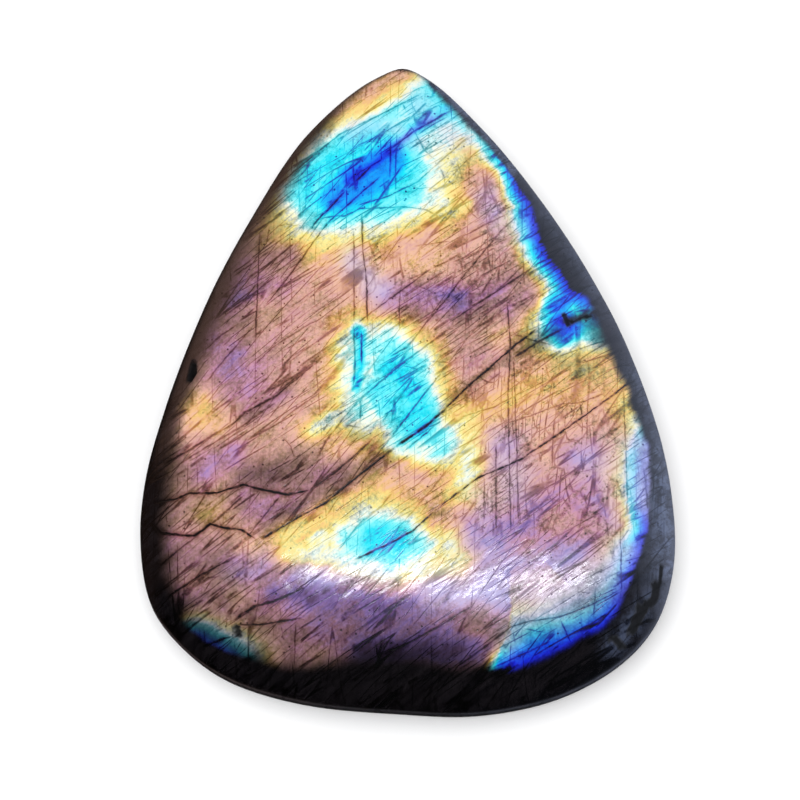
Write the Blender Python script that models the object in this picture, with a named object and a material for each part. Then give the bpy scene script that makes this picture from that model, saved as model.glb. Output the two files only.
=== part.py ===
"""A polished labradorite cabochon: a pear-shaped stone with a flat back, a short upright wall and a low dome.

It lies on its back with the dome up and the pear's tip towards +Y. The origin is on the back, in the middle
of the stone's length and width. Run it with blender --background --python part.py.
"""

import math

import bmesh
import bpy

MM = 0.001

# Driving dimensions, in metres
THICKNESS = 9.0 * MM
WALL_TOP = 2.6 * MM
BACK_ROUNDING = 0.7 * MM

# The stone's edge seen from above, in millimetres, anticlockwise from the tip. It is hand cut, so its sides
# differ: the left foot is flattened and the right one is full.
OUTLINE = [
    (-0.3, 20.0), (-1.7, 19.4), (-3.4, 18.4), (-6.6, 15.4), (-9.5, 10.7), (-12.0, 6.1), (-14.4, 0.0),
    (-15.8, -4.6), (-16.3, -8.5), (-16.0, -12.1), (-15.1, -14.2), (-13.5, -16.0), (-11.4, -17.6),
    (-8.6, -18.7), (-4.9, -19.5), (-0.6, -19.8), (2.6, -20.0), (5.4, -19.8), (8.7, -19.1), (11.9, -17.6),
    (14.2, -15.7), (15.6, -13.5), (16.2, -11.0), (16.3, -8.3), (15.6, -3.6), (13.9, 1.5), (11.8, 6.0),
    (8.9, 10.7), (5.4, 15.3), (2.5, 18.3), (1.0, 19.4),
]

# The crown is the top of the dome. Rings around it start round and take the outline's shape further out.
CROWN = (0.0, -3.6)
CROWN_RADIUS = 15.0
DOME_FULLNESS = 2.5
DOME_FLATNESS = 1.95

# How finely the stone is faceted
SAMPLES_PER_POINT = 3
BACK_RINGS = 3
ROUNDING_RINGS = 4
WALL_RINGS = 2
DOME_RINGS = 30

STONE_COLOUR = (0.27, 0.21, 0.23, 1.0)
STONE_ROUGHNESS = 0.12


def spline_cage():
    """The control points that carry a cubic B-spline close by each point of the outline."""
    cage = []
    for i, (x, y) in enumerate(OUTLINE):
        before = OUTLINE[i - 1]
        after = OUTLINE[(i + 1) % len(OUTLINE)]
        middle_x = (before[0] + after[0]) / 2
        middle_y = (before[1] + after[1]) / 2
        cage.append((x + (x - middle_x) / 3, y + (y - middle_y) / 3))
    return cage


def edge_point(cage, at):
    """The (x, y) of the stone's edge in millimetres, at outline points past the tip."""
    i = int(at)
    t = at - i
    weights = (
        (1 - t) ** 3 / 6,
        (3 * t**3 - 6 * t**2 + 4) / 6,
        (-3 * t**3 + 3 * t**2 + 3 * t + 1) / 6,
        t**3 / 6,
    )
    near = [cage[(i + k) % len(cage)] for k in (-1, 0, 1, 2)]
    return tuple(sum(w * point[axis] for w, point in zip(weights, near)) for axis in (0, 1))


def ring_stations():
    """(share of the outline, height in metres) of each ring, from the middle of the back up to the crown."""
    back_share = 1 - BACK_ROUNDING / (CROWN_RADIUS * MM)
    stations = [(back_share * k / BACK_RINGS, 0.0) for k in range(BACK_RINGS)]
    for k in range(ROUNDING_RINGS + 1):
        turn = math.pi / 2 * k / ROUNDING_RINGS
        share = back_share + (1 - back_share) * math.sin(turn)
        stations.append((share, BACK_ROUNDING * (1 - math.cos(turn))))
    for k in range(1, WALL_RINGS):
        stations.append((1.0, BACK_ROUNDING + (WALL_TOP - BACK_ROUNDING) * k / WALL_RINGS))
    for k in range(DOME_RINGS + 1):
        turn = math.pi / 2 * k / DOME_RINGS
        share = max(math.cos(turn), 0.0) ** (2 / DOME_FULLNESS)
        rise = math.sin(turn) ** (2 / DOME_FLATNESS)
        stations.append((share, WALL_TOP + (THICKNESS - WALL_TOP) * rise))
    return stations


def ring_point(edge, share):
    """Where a ring at this share of the outline crosses the line from the crown to an edge point."""
    across = edge[0] - CROWN[0]
    along = edge[1] - CROWN[1]
    reach = math.hypot(across, along)
    roundness = (1 - share**2) ** 2
    scale = share * (1 + roundness * (CROWN_RADIUS / reach - 1))
    return (CROWN[0] + across * scale) * MM, (CROWN[1] + along * scale) * MM


def stone_mesh():
    """A sphere whose meridians run to the points of the outline and whose parallels are the stone's rings."""
    stations = ring_stations()
    around = len(OUTLINE) * SAMPLES_PER_POINT
    cage = spline_cage()
    bm = bmesh.new()
    bmesh.ops.create_uvsphere(bm, u_segments=around, v_segments=len(stations) - 1, radius=1.0)
    for vertex in bm.verts:
        latitude = math.asin(max(-1.0, min(1.0, vertex.co.z)))
        longitude = math.atan2(vertex.co.y, vertex.co.x) % math.tau
        ring = round((latitude / math.pi + 0.5) * (len(stations) - 1))
        meridian = round(longitude / math.tau * around) % around
        share, height = stations[ring]
        x, y = ring_point(edge_point(cage, meridian / SAMPLES_PER_POINT), share)
        vertex.co = (x, y, height)
    mesh = bpy.data.meshes.new("labradorite_stone")
    bm.to_mesh(mesh)
    bm.free()
    mesh.shade_smooth()
    return mesh


def labradorite():
    """Polished labradorite at the mean colour of the flash on its face."""
    material = bpy.data.materials.new("labradorite")
    material.use_nodes = True
    shader = material.node_tree.nodes["Principled BSDF"]
    shader.inputs["Base Color"].default_value = STONE_COLOUR
    shader.inputs["Roughness"].default_value = STONE_ROUGHNESS
    shader.inputs["Metallic"].default_value = 0.0
    return material


def main():
    for old in list(bpy.data.objects):
        bpy.data.objects.remove(old)
    collection = bpy.data.collections.new("labradorite_cabochon")
    bpy.context.scene.collection.children.link(collection)
    stone = bpy.data.objects.new("labradorite_stone", stone_mesh())
    stone.data.materials.append(labradorite())
    collection.objects.link(stone)


main()
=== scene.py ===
"""A polished labradorite cabochon on a white table, seen from above.

The stone takes the form of its CAD solid, finely meshed, with the small relief that a polish leaves. Its
flash is painted over the face from the strokes below and kept as attributes of the mesh, which the material
turns into colours. All lengths are in millimetres unless a comment says otherwise.
"""

import functools
import math

import bpy
import numpy as np
from mathutils import Matrix


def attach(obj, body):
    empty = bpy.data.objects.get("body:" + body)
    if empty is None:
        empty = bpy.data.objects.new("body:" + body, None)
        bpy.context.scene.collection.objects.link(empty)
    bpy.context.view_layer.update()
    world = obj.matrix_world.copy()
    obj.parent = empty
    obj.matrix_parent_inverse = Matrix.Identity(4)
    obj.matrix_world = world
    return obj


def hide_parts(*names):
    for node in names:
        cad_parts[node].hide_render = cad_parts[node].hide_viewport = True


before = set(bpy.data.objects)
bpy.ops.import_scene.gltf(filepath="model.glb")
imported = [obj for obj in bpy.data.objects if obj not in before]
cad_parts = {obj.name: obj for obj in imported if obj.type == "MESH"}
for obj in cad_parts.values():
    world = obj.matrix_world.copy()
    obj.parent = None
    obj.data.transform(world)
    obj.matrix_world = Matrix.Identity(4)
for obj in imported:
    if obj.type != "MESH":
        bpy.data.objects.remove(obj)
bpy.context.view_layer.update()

MM = 0.001

# The stone's form, as in its CAD source

THICKNESS = 9.0
WALL_TOP = 2.6
BACK_ROUNDING = 0.7
OUTLINE = [
    (-0.3, 20.0), (-1.7, 19.4), (-3.4, 18.4), (-6.6, 15.4), (-9.5, 10.7), (-12.0, 6.1), (-14.4, 0.0),
    (-15.8, -4.6), (-16.3, -8.5), (-16.0, -12.1), (-15.1, -14.2), (-13.5, -16.0), (-11.4, -17.6),
    (-8.6, -18.7), (-4.9, -19.5), (-0.6, -19.8), (2.6, -20.0), (5.4, -19.8), (8.7, -19.1), (11.9, -17.6),
    (14.2, -15.7), (15.6, -13.5), (16.2, -11.0), (16.3, -8.3), (15.6, -3.6), (13.9, 1.5), (11.8, 6.0),
    (8.9, 10.7), (5.4, 15.3), (2.5, 18.3), (1.0, 19.4),
]
CROWN = (0.0, -3.6)
CROWN_RADIUS = 15.0
DOME_FULLNESS = 2.5
DOME_FLATNESS = 1.95

# The mesh: cells along each side of the cube that is blown up to the stone. The hidden back takes only this
# share of the cells that its size asks for.
SIDE_CELLS = 126
BACK_SHARE = 0.35

# The flash

# The colours of the flash in order of the lamellae's thickness, as (order, sRGB)
FLASH_COLOURS = [
    (0.00, (2, 2, 14)), (0.06, (4, 6, 130)), (0.11, (24, 40, 215)), (0.17, (8, 92, 242)),
    (0.24, (4, 164, 250)), (0.31, (22, 234, 250)), (0.38, (140, 248, 252)), (0.44, (246, 254, 240)),
    (0.5, (253, 242, 158)), (0.55, (250, 216, 130)), (0.6, (242, 192, 130)), (0.65, (240, 190, 160)),
    (0.7, (228, 176, 160)), (0.76, (212, 160, 160)), (0.82, (204, 148, 172)), (0.88, (184, 142, 188)),
    (0.94, (146, 118, 184)), (1.0, (92, 68, 104)),
]

# The orders of the colours that the strokes paint with
WHITE, YELLOW, GOLD, ORANGE, PEACH, TAN = 0.44, 0.50, 0.55, 0.60, 0.65, 0.70
BROWN, MAUVE, LILAC, VIOLET, PLUM = 0.76, 0.82, 0.88, 0.94, 1.0

# The lamellae run up to the right at this angle in degrees, and the flash is combed along them
LAMELLAE_ANGLE = 35

# Ripples that make edges ragged, along the lamellae and across them: (height, length, width, layer)
SHIFTS = [(0.22, 3.0, 0.7, 1), (0.14, 1.3, 0.3, 2)]
SWAYS = [(0.16, 1.2, 0.8, 3), (0.08, 0.5, 0.4, 4)]

# Places on the face are (x, y) as the camera sees the stone, with the tip near (0, 20). The stone's own
# coordinates turn into them by the camera's tilt, this scale and this shift.
PLACE_SCALE = 1.007
PLACE_SHIFT = -0.186

# The face's main colour, how bright it is and how crazed
GROUND = 0.69
GROUND_BRIGHTNESS = 0.88
GROUND_CRAZING = 0.15

# Soft patches of the flash: (order, brightness, strength, reach, path)
PATCHES = [
    # the rim left of the top island
    (GOLD, 0.6, 0.8, 0.9, [(-9.0, 11.0), (-8.0, 12.6), (-6.4, 15.4)]),
    # between the top island and the right flank
    (WHITE, 1.0, 0.9, 1.5, [(2.2, 12.0), (3.2, 16.2), (5.0, 14.6)]),
    (YELLOW, 1.0, 0.9, 0.9, [(3.0, 12.2), (3.4, 14.8), (4.8, 14.8), (5.8, 13.2)]),
    (GOLD, 0.92, 0.9, 0.6, [(3.7, 14.1), (4.6, 13.8)]),
    (ORANGE, 0.8, 0.8, 0.7, [(3.8, 13.2), (4.4, 12.6)]),
    (MAUVE, 0.88, 0.9, 1.0, [(4.6, 12.4), (5.2, 11.4)]),
    (LILAC, 0.95, 0.8, 0.9, [(5.2, 11.6), (6.2, 9.8)]),
    (YELLOW, 0.97, 0.8, 0.6, [(6.6, 8.9), (7.7, 7.3), (7.8, 6.6)]),
    # under the top island
    (GOLD, 0.78, 0.9, 0.9, [(-8.6, 9.0), (-7.0, 8.9)]),
    (GOLD, 1.0, 0.9, 1.0, [(-6.0, 9.1), (-3.0, 8.9), (2.0, 9.7)]),
    (YELLOW, 1.06, 0.85, 0.8, [(1.8, 10.8), (3.4, 11.6)]),
    (WHITE, 1.05, 0.9, 0.7, [(0.8, 11.2), (1.9, 11.9)]),
    (PEACH, 1.0, 0.9, 1.3, [(-6.8, 7.9), (-1.0, 8.2), (4.0, 9.4)]),
    (PEACH, 0.95, 0.9, 1.6, [(-6.6, 6.0), (-4.2, 7.2)]),
    (TAN, 0.85, 0.8, 1.3, [(-8.6, 3.4), (-6.0, 5.0), (-4.4, 5.6)]),
    (ORANGE, 0.85, 0.9, 0.9, [(1.0, 7.4), (3.2, 8.2)]),
    (TAN, 0.82, 0.9, 1.1, [(3.6, 7.7), (7.0, 8.6)]),
    (BROWN, 0.5, 0.9, 1.4, [(-11.2, 5.8), (-8.8, 8.6)]),
    (BROWN, 0.74, 0.8, 1.0, [(-7.8, 6.4), (-6.6, 8.0)]),
    (VIOLET, 0.68, 1.0, 0.6, [(-11.0, 5.2), (-8.8, 7.2), (-7.4, 8.5)]),
    (PEACH, 1.34, 0.9, 1.0, [(-3.4, 8.0), (-3.2, 6.9), (-1.8, 6.4)]),
    # the violet band across the middle
    (MAUVE, 0.84, 0.9, 1.0, [(-1.0, 5.6), (0.8, 5.6)]),
    (MAUVE, 0.74, 0.9, 1.1, [(1.6, 5.6), (4.6, 5.2)]),
    (VIOLET, 0.72, 0.9, 0.8, [(0.6, 5.2), (3.0, 5.4)]),
    (PLUM, 0.75, 0.7, 0.5, [(1.6, 5.0), (2.6, 5.4)]),
    (MAUVE, 0.75, 0.9, 1.0, [(4.6, 5.6), (7.4, 6.6)]),
    (LILAC, 0.9, 0.9, 0.7, [(6.0, 5.6), (7.6, 6.2)]),
    (TAN, 0.8, 0.9, 1.1, [(2.6, 2.6), (5.4, 4.2)]),
    (ORANGE, 0.88, 0.8, 0.9, [(5.6, 3.4), (7.2, 4.6)]),
    (MAUVE, 0.8, 0.7, 0.6, [(3.2, 1.6), (4.6, 2.2)]),
    # left of the middle island
    (GOLD, 0.95, 0.8, 0.9, [(-4.9, 0.2), (-4.3, 4.2), (-2.8, 4.7)]),
    (PEACH, 0.85, 0.8, 1.2, [(-7.6, -0.8), (-5.8, 2.6)]),
    (WHITE, 1.02, 0.85, 0.9, [(-5.8, -2.3), (-4.4, -1.6)]),
    (MAUVE, 0.74, 0.9, 1.7, [(-11.6, 3.0), (-10.2, 1.0)]),
    (MAUVE, 0.94, 0.9, 1.2, [(-9.6, 0.4), (-8.2, 1.4)]),
    (LILAC, 0.8, 0.8, 0.7, [(-11.0, 1.6), (-10.4, 2.4)]),
    (BROWN, 0.62, 0.8, 0.8, [(-12.6, 4.6), (-10.2, 4.4)]),
    (TAN, 0.88, 0.8, 0.9, [(-7.8, 1.0), (-7.0, 1.8)]),
    (BROWN, 0.66, 0.8, 0.5, [(-9.8, -1.6), (-7.4, 0.0)]),
    (ORANGE, 0.95, 0.9, 1.0, [(-13.4, -0.8), (-11.4, -2.4)]),
    (ORANGE, 1.08, 0.9, 0.7, [(-13.0, -1.7), (-12.3, -0.5)]),
    (MAUVE, 0.94, 1.0, 1.1, [(-12.4, -4.6), (-10.8, -4.0)]),
    (LILAC, 0.95, 0.6, 0.6, [(-12.4, -4.6), (-11.2, -4.2)]),
    (BROWN, 0.48, 0.95, 1.1, [(-9.4, -5.2), (-7.2, -4.8)]),
    (BROWN, 0.7, 0.95, 1.2, [(-6.4, -5.1), (-3.8, -4.6)]),
    (ORANGE, 0.94, 0.9, 0.8, [(-4.4, -3.4), (-2.6, -3.5)]),
    # lower left
    (TAN, 0.7, 0.9, 1.3, [(-14.2, -7.4), (-12.6, -7.4)]),
    (ORANGE, 0.76, 0.9, 0.8, [(-12.2, -7.4), (-10.9, -7.2)]),
    (MAUVE, 0.78, 0.9, 1.1, [(-9.8, -6.8), (-7.0, -7.4)]),
    (BROWN, 0.6, 0.9, 1.5, [(-14.0, -10.2), (-11.4, -10.4)]),
    (LILAC, 0.78, 0.8, 0.9, [(-10.2, -10.8), (-8.8, -10.4)]),
    (PEACH, 0.92, 0.9, 0.9, [(-9.4, -9.4), (-7.4, -8.6)]),
    (YELLOW, 0.98, 0.9, 0.8, [(-7.4, -8.8), (-4.8, -7.4)]),
    (WHITE, 1.05, 0.9, 0.9, [(-7.0, -10.0), (-5.4, -9.7)]),
    (ORANGE, 0.7, 0.9, 0.8, [(-10.6, -12.8), (-9.8, -13.4)]),
    (BROWN, 0.52, 0.9, 1.3, [(-13.8, -12.8), (-11.8, -12.8)]),
    # right half
    (PEACH, 1.1, 0.9, 1.9, [(5.4, 0.4), (8.4, -0.8)]),
    (GOLD, 1.12, 0.8, 1.0, [(3.4, -1.4), (5.6, -0.6), (7.4, 0.0)]),
    (WHITE, 1.2, 0.95, 1.2, [(3.9, -2.8), (3.5, -5.4)]),
    (YELLOW, 1.05, 0.8, 0.9, [(2.6, -6.4), (3.6, -6.6)]),
    (YELLOW, 1.05, 0.7, 0.8, [(3.0, -0.6), (3.6, -2.4)]),
    (ORANGE, 1.06, 0.9, 1.3, [(8.4, 0.6), (12.4, -0.8)]),
    (PEACH, 1.0, 0.8, 1.1, [(9.6, -2.0), (12.8, -2.0)]),
    (ORANGE, 0.88, 0.8, 0.8, [(6.8, 2.4), (8.0, 2.6)]),
    (GOLD, 0.8, 1.0, 1.0, [(9.2, 2.0), (10.8, 1.3)]),
    (ORANGE, 0.92, 0.7, 0.7, [(8.4, -3.4), (8.9, -5.2)]),
    (LILAC, 1.08, 0.85, 1.2, [(10.4, -4.0), (11.8, -4.2)]),
    (LILAC, 0.86, 0.95, 1.3, [(13.4, -3.0), (13.9, -5.6)]),
    (MAUVE, 0.9, 0.8, 1.0, [(8.4, -5.6), (10.4, -6.8)]),
    (LILAC, 1.12, 0.85, 1.2, [(11.4, -6.8), (13.0, -7.6)]),
    (MAUVE, 0.92, 0.8, 1.1, [(8.8, -9.0), (11.0, -9.2)]),
    (LILAC, 1.1, 0.8, 1.1, [(5.8, -3.4), (7.2, -5.6)]),
    (TAN, 1.12, 0.9, 1.2, [(6.2, -4.6), (7.8, -5.4)]),
    (VIOLET, 1.08, 0.85, 1.1, [(5.4, -8.4), (7.2, -7.9)]),
    (LILAC, 0.98, 0.8, 0.6, [(7.6, -7.0), (8.6, -6.6)]),
    (ORANGE, 0.92, 0.9, 1.0, [(-2.6, -5.2), (1.4, -6.0)]),
    (YELLOW, 0.97, 0.8, 0.6, [(-4.4, -6.6), (-1.0, -6.2)]),
    (YELLOW, 1.0, 0.9, 0.9, [(1.8, -8.6), (2.3, -10.2)]),
    (ORANGE, 0.68, 0.9, 0.55, [(1.6, -7.3), (2.4, -7.2)]),
    (LILAC, 1.04, 0.8, 1.0, [(4.2, -8.2), (4.8, -9.2)]),
    (WHITE, 1.05, 0.85, 0.9, [(2.7, -9.0), (3.3, -10.2)]),
]

# Patches that cover the pale rings around the wells below
UPPER_PATCHES = [
    # the shoulder left of the tip
    (YELLOW, 1.0, 0.9, 0.5, [(-3.6, 16.9), (-0.6, 18.6)]),
    (PEACH, 0.9, 0.95, 0.6, [(-4.6, 17.4), (-2.6, 18.5), (-0.4, 19.8)]),
    # the foot
    (VIOLET, 0.8, 1.0, 1.2, [(-8.0, -12.2), (-6.0, -12.4)]),
    (VIOLET, 0.94, 1.0, 1.1, [(-4.6, -12.3), (-1.0, -12.9), (1.4, -13.2)]),
    (VIOLET, 0.74, 0.95, 1.2, [(-5.0, -13.6), (2.0, -14.0)]),
    (MAUVE, 0.56, 0.95, 1.3, [(-9.4, -14.0), (-7.0, -14.6), (-3.6, -15.0), (3.0, -14.8)]),
    (BROWN, 0.52, 0.8, 0.8, [(-8.4, -14.6), (-6.6, -15.6)]),
    (PLUM, 0.58, 0.9, 1.2, [(-2.6, -15.6), (4.6, -15.5)]),
    (MAUVE, 0.68, 0.9, 1.0, [(2.2, -13.6), (5.0, -14.2)]),
    (LILAC, 1.1, 0.9, 1.0, [(1.0, -11.8), (3.6, -11.8), (5.4, -12.4)]),
    (WHITE, 1.1, 0.85, 0.8, [(0.8, -10.8), (3.4, -10.8)]),
    (VIOLET, 1.0, 0.9, 1.4, [(5.0, -11.2), (7.0, -10.8), (11.0, -10.4)]),
    (VIOLET, 1.02, 0.9, 1.1, [(6.4, -12.6), (9.6, -12.2)]),
    (VIOLET, 0.9, 0.7, 0.7, [(-6.8, -11.2), (-4.0, -11.6)]),
    # around the middle island and the star
    (PEACH, 1.1, 0.9, 1.0, [(-2.6, 8.2), (0.4, 8.5)]),
    (BROWN, 0.68, 0.7, 0.7, [(-8.4, 8.2), (-7.2, 8.4)]),
    (LILAC, 0.94, 0.7, 0.9, [(-0.8, 5.8), (0.8, 5.6)]),
    (PEACH, 2.1, 0.95, 0.55, [(-3.6, 7.3), (-3.0, 7.2)]),
    (MAUVE, 0.86, 0.85, 0.8, [(6.2, 5.2), (7.3, 5.8)]),
]

# How fast the order rises outside a well's white edge, over how much order its slope blends in, and between
# which shares of its reach it sets in to shine
HALO_SLOPE = 0.2
WELL_BLEND = 0.08
WELL_GLOW = (1.3, 0.9)

# Wells where the lamellae thin out towards a core: (order in the core, reach of the white edge, shape, path)
WELLS = [
    # the top island
    (0.31, 2.4, 2.2, [(-5.4, 12.3), (-2.5, 12.4), (-0.7, 13.8)]),
    (0.31, 1.5, 2.2, [(-5.6, 13.4), (-3.8, 14.8), (-1.8, 15.7)]),
    (0.22, 1.9, 2.0, [(-4.4, 11.9), (-2.2, 12.8), (-1.0, 14.4)]),
    (0.11, 1.4, 0.9, [(-3.6, 13.1), (-2.4, 13.8), (-1.0, 14.8)]),
    (0.22, 0.8, 1.2, [(-0.8, 15.2), (0.3, 16.0), (1.6, 17.0)]),
    (0.36, 1.6, 2.0, [(-2.4, 16.6), (1.2, 17.8)]),
    (0.3, 1.0, 1.5, [(0.2, 16.4), (2.2, 17.4)]),
    (0.34, 1.3, 1.8, [(-1.8, 11.6), (0.1, 12.2)]),
    (0.42, 1.2, 2.0, [(0.6, 12.6), (1.2, 15.6), (2.4, 16.8)]),
    (0.36, 1.0, 2.0, [(-5.8, 10.7), (-3.4, 10.7)]),
    # the middle island
    (0.38, 1.2, 2.0, [(-2.5, 2.7), (-0.9, 2.8)]),
    (0.4, 1.2, 2.0, [(-2.9, 2.4), (-2.7, -1.0)]),
    (0.3, 0.5, 1.4, [(-3.0, 3.8), (-3.0, 0.2)]),
    (0.34, 1.4, 2.0, [(-0.7, 2.3), (0.2, 1.6)]),
    (0.31, 1.5, 2.4, [(-0.7, 1.6), (0.1, 0.4), (0.6, -1.2), (0.7, -2.0)]),
    (0.33, 1.4, 2.0, [(-1.4, 0.0), (0.0, -1.8)]),
    (0.36, 1.2, 2.0, [(1.2, -2.6), (1.9, -3.0)]),
    (0.38, 0.8, 2.0, [(-0.4, -2.9), (0.6, -3.3)]),
    # the bottom island
    (0.3, 1.7, 2.2, [(-1.9, -8.9), (-0.9, -9.3)]),
    (0.36, 1.3, 2.0, [(-3.2, -9.1), (0.2, -9.4)]),
    (0.4, 1.0, 2.0, [(-3.6, -10.0), (0.6, -10.2)]),
    (0.45, 0.8, 2.0, [(-5.2, -9.5), (-4.2, -9.4)]),
    # the star on the right
    (0.03, 1.5, 0.8, [(9.5, 4.3)]),
    (0.12, 1.1, 1.0, [(9.3, 3.6), (10.1, 4.1)]),
    (0.16, 1.2, 1.0, [(9.2, 5.2), (9.9, 5.9)]),
]

# Painted shade: the flash fades to the dark body along the rim, where the dome turns steep
# The order where the flash ends and its rise over the width of the edge, and between which shares of that
# width a blue edge sets in to shine, a plain edge fades and a blue edge fades
EDGE_ORDER = 0.05
EDGE_RISE = 0.33
EDGE_GLOW = (1.3, 0.8)
EDGE_FADE = (-0.3, 0.5)
BLUE_EDGE_FADE = (-0.1, 0.2)

# Painted shade where the flash ends, clockwise from the tip: (x, y, share of blue in the edge, its width)
FLASH_EDGE = [
    (0.6, 20.0, 0.0, 0.8), (1.4, 19.0, 0.2, 0.8), (2.3, 18.2, 0.2, 0.9), (2.9, 17.5, 0.2, 0.9),
    (3.7, 16.7, 0.2, 0.8), (4.5, 15.9, 0.3, 0.8), (5.5, 14.8, 0.5, 0.8), (6.4, 13.6, 0.8, 0.7),
    (7.0, 12.7, 1.0, 0.9), (7.7, 11.9, 1.0, 1.2), (7.9, 10.8, 1.0, 1.3), (8.2, 9.8, 1.0, 1.3),
    (8.6, 8.8, 1.0, 1.2), (9.1, 8.0, 1.0, 1.1), (9.7, 7.0, 1.0, 1.1), (10.2, 6.4, 1.0, 1.2),
    (11.0, 6.0, 0.8, 1.4), (11.4, 5.2, 0.7, 1.4), (11.8, 4.3, 0.6, 1.4), (12.2, 3.2, 0.4, 1.3),
    (12.6, 2.2, 0.2, 1.2), (13.1, 1.2, 0.2, 1.2), (13.6, 0.2, 0.2, 1.1), (14.0, -1.0, 0.3, 1.1),
    (14.4, -2.2, 0.6, 1.4), (14.8, -3.2, 0.9, 1.5), (14.9, -4.4, 1.0, 1.6), (15.0, -5.4, 1.0, 1.6),
    (14.9, -6.6, 1.0, 1.4), (14.8, -7.6, 1.0, 1.2), (14.7, -8.4, 1.0, 1.0), (14.5, -9.4, 1.0, 1.3),
    (14.2, -10.3, 1.0, 1.4), (13.8, -11.4, 1.0, 1.5), (13.3, -12.5, 1.0, 1.7), (12.8, -13.6, 1.0, 2.0),
    (12.0, -14.5, 1.0, 2.2), (10.9, -15.1, 1.0, 2.2), (9.7, -15.7, 1.0, 2.4), (8.5, -16.3, 1.0, 2.5),
    (7.3, -16.8, 1.0, 2.8), (6.3, -17.0, 1.0, 2.2), (5.3, -16.9, 0.8, 1.7), (4.4, -16.5, 0.1, 2.2),
    (3.0, -16.6, 0.0, 2.8), (1.5, -16.3, 0.0, 3.0), (0.0, -16.1, 0.0, 3.0), (-1.2, -16.0, 0.0, 3.0),
    (-2.5, -16.1, 0.0, 2.6), (-3.4, -16.2, 0.0, 2.4), (-4.4, -16.4, 0.0, 2.3), (-6.0, -16.7, 0.0, 2.2),
    (-7.4, -16.6, 0.0, 2.2), (-8.7, -16.5, 0.3, 1.6), (-10.0, -16.2, 0.7, 1.3), (-11.2, -15.9, 0.9, 1.2),
    (-12.4, -15.4, 0.9, 1.2), (-13.2, -14.8, 0.8, 1.2), (-13.8, -14.0, 0.4, 1.5), (-14.1, -13.1, 0.0, 2.3),
    (-14.4, -12.4, 0.0, 2.5), (-14.7, -11.0, 0.0, 2.6), (-14.9, -9.4, 0.0, 2.6), (-15.0, -8.0, 0.0, 2.7),
    (-14.8, -6.6, 0.0, 2.9), (-14.6, -5.0, 0.0, 2.9), (-14.4, -3.5, 0.0, 2.5), (-14.3, -2.0, 0.0, 2.1),
    (-13.9, -0.8, 0.0, 2.2), (-13.4, 0.4, 0.0, 2.4), (-12.9, 2.0, 0.0, 2.5), (-12.4, 3.2, 0.0, 2.7),
    (-11.9, 4.6, 0.0, 2.8), (-11.2, 6.6, 0.0, 3.0), (-10.4, 8.6, 0.0, 2.9), (-9.7, 9.9, 0.0, 2.9),
    (-8.8, 11.2, 0.0, 3.1), (-7.9, 12.6, 0.0, 2.9), (-7.0, 14.0, 0.0, 2.6), (-6.0, 15.3, 0.0, 2.6),
    (-4.9, 16.9, 0.0, 2.2), (-3.9, 18.1, 0.0, 1.4), (-2.4, 19.2, 0.0, 0.7), (-0.8, 20.1, 0.0, 0.7),
]

# Dark places over all of that: (brightness, strength, reach, path)
SHADES = [
    (0.62, 0.8, 0.6, [(2.2, -0.9), (6.2, 2.2), (9.0, 3.6)]),
    (0.68, 0.8, 0.7, [(-8.4, -8.0), (-4.6, -5.8), (-1.4, -3.9)]),
    (0.1, 1.0, 0.26, [(9.9, 4.3), (10.4, 4.4), (11.2, 4.8)]),
    (0.4, 0.9, 0.9, [(11.2, 4.4), (12.0, 3.4)]),
    (0.3, 1.0, 1.2, [(-14.0, -13.8), (-12.4, -14.9), (-10.6, -15.7), (-9.2, -16.2)]),
    (0.74, 0.9, 1.5, [(12.4, -12.2), (9.6, -13.8), (6.4, -14.8)]),
    (0.84, 0.9, 1.2, [(8.6, -12.2), (11.4, -10.8)]),
    (0.8, 0.9, 0.9, [(14.2, -3.0), (14.6, -6.6)]),
    (0.84, 0.9, 0.8, [(-7.8, 11.6), (-5.6, 10.0)]),
    (0.76, 0.9, 0.7, [(-3.4, -1.6), (-2.8, -2.4)]),
    (0.78, 0.9, 1.0, [(-13.9, -4.6), (-13.3, -5.6)]),
]

# Milky places, and a painted highlight glow along the lower dome: (whiteness, strength, reach, path)
VEILS_AND_GLOW = [
    (0.5, 0.9, 0.9, [(5.4, 11.2), (6.4, 9.8)]),
    (0.6, 0.85, 0.9, [(-3.3, 8.2), (-1.8, 6.2)]),
    (0.3, 0.8, 0.7, [(4.6, 12.0), (5.2, 12.4)]),
    (0.85, 0.95, 1.1, [(14.0, -3.2), (14.4, -6.4)]),
    (0.5, 0.8, 1.4, [(5.8, -3.4), (6.4, -5.8)]),
    (0.45, 0.8, 1.2, [(10.8, -4.2), (13.4, -4.6)]),
    (0.35, 0.8, 1.2, [(12.4, -6.2), (13.0, -8.0)]),
    (0.45, 0.8, 1.2, [(3.8, -9.0), (5.0, -10.0)]),
    (0.4, 0.8, 0.9, [(4.4, -6.2), (4.7, -7.2)]),
    # painted highlight: pale glow along the window's reflection band, besides its real reflection
    (0.68, 0.9, 1.3, [(1.6, -11.8), (5.0, -12.2), (8.6, -12.2), (11.4, -11.4)]),
    # painted highlight: pale glow at the upper edge of the window's reflection band
    (0.45, 0.8, 1.2, [(6.8, -10.8), (10.6, -10.4)]),
    (0.3, 0.7, 1.0, [(-10.6, -11.0), (-8.8, -10.4)]),
    # painted highlight: white glow where the window's reflection crosses the lower left
    (0.55, 0.9, 0.7, [(-6.6, -10.8), (-4.2, -11.0), (-1.0, -11.2)]),
    (0.85, 0.95, 0.9, [(13.0, -9.6), (12.2, -10.9), (10.8, -12.2), (9.2, -13.0)]),
    (0.7, 0.9, 0.8, [(8.4, -13.3), (6.8, -14.0), (5.9, -15.0)]),
    (0.35, 0.9, 0.8, [(-12.6, -14.0), (-10.6, -14.8), (-9.2, -15.4)]),
    (0.35, 0.9, 1.0, [(0.6, 17.6), (3.4, 15.6)]),
    (0.38, 0.9, 0.7, [(-3.4, 16.0), (-1.2, 16.4), (0.6, 15.4)]),
]
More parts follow.
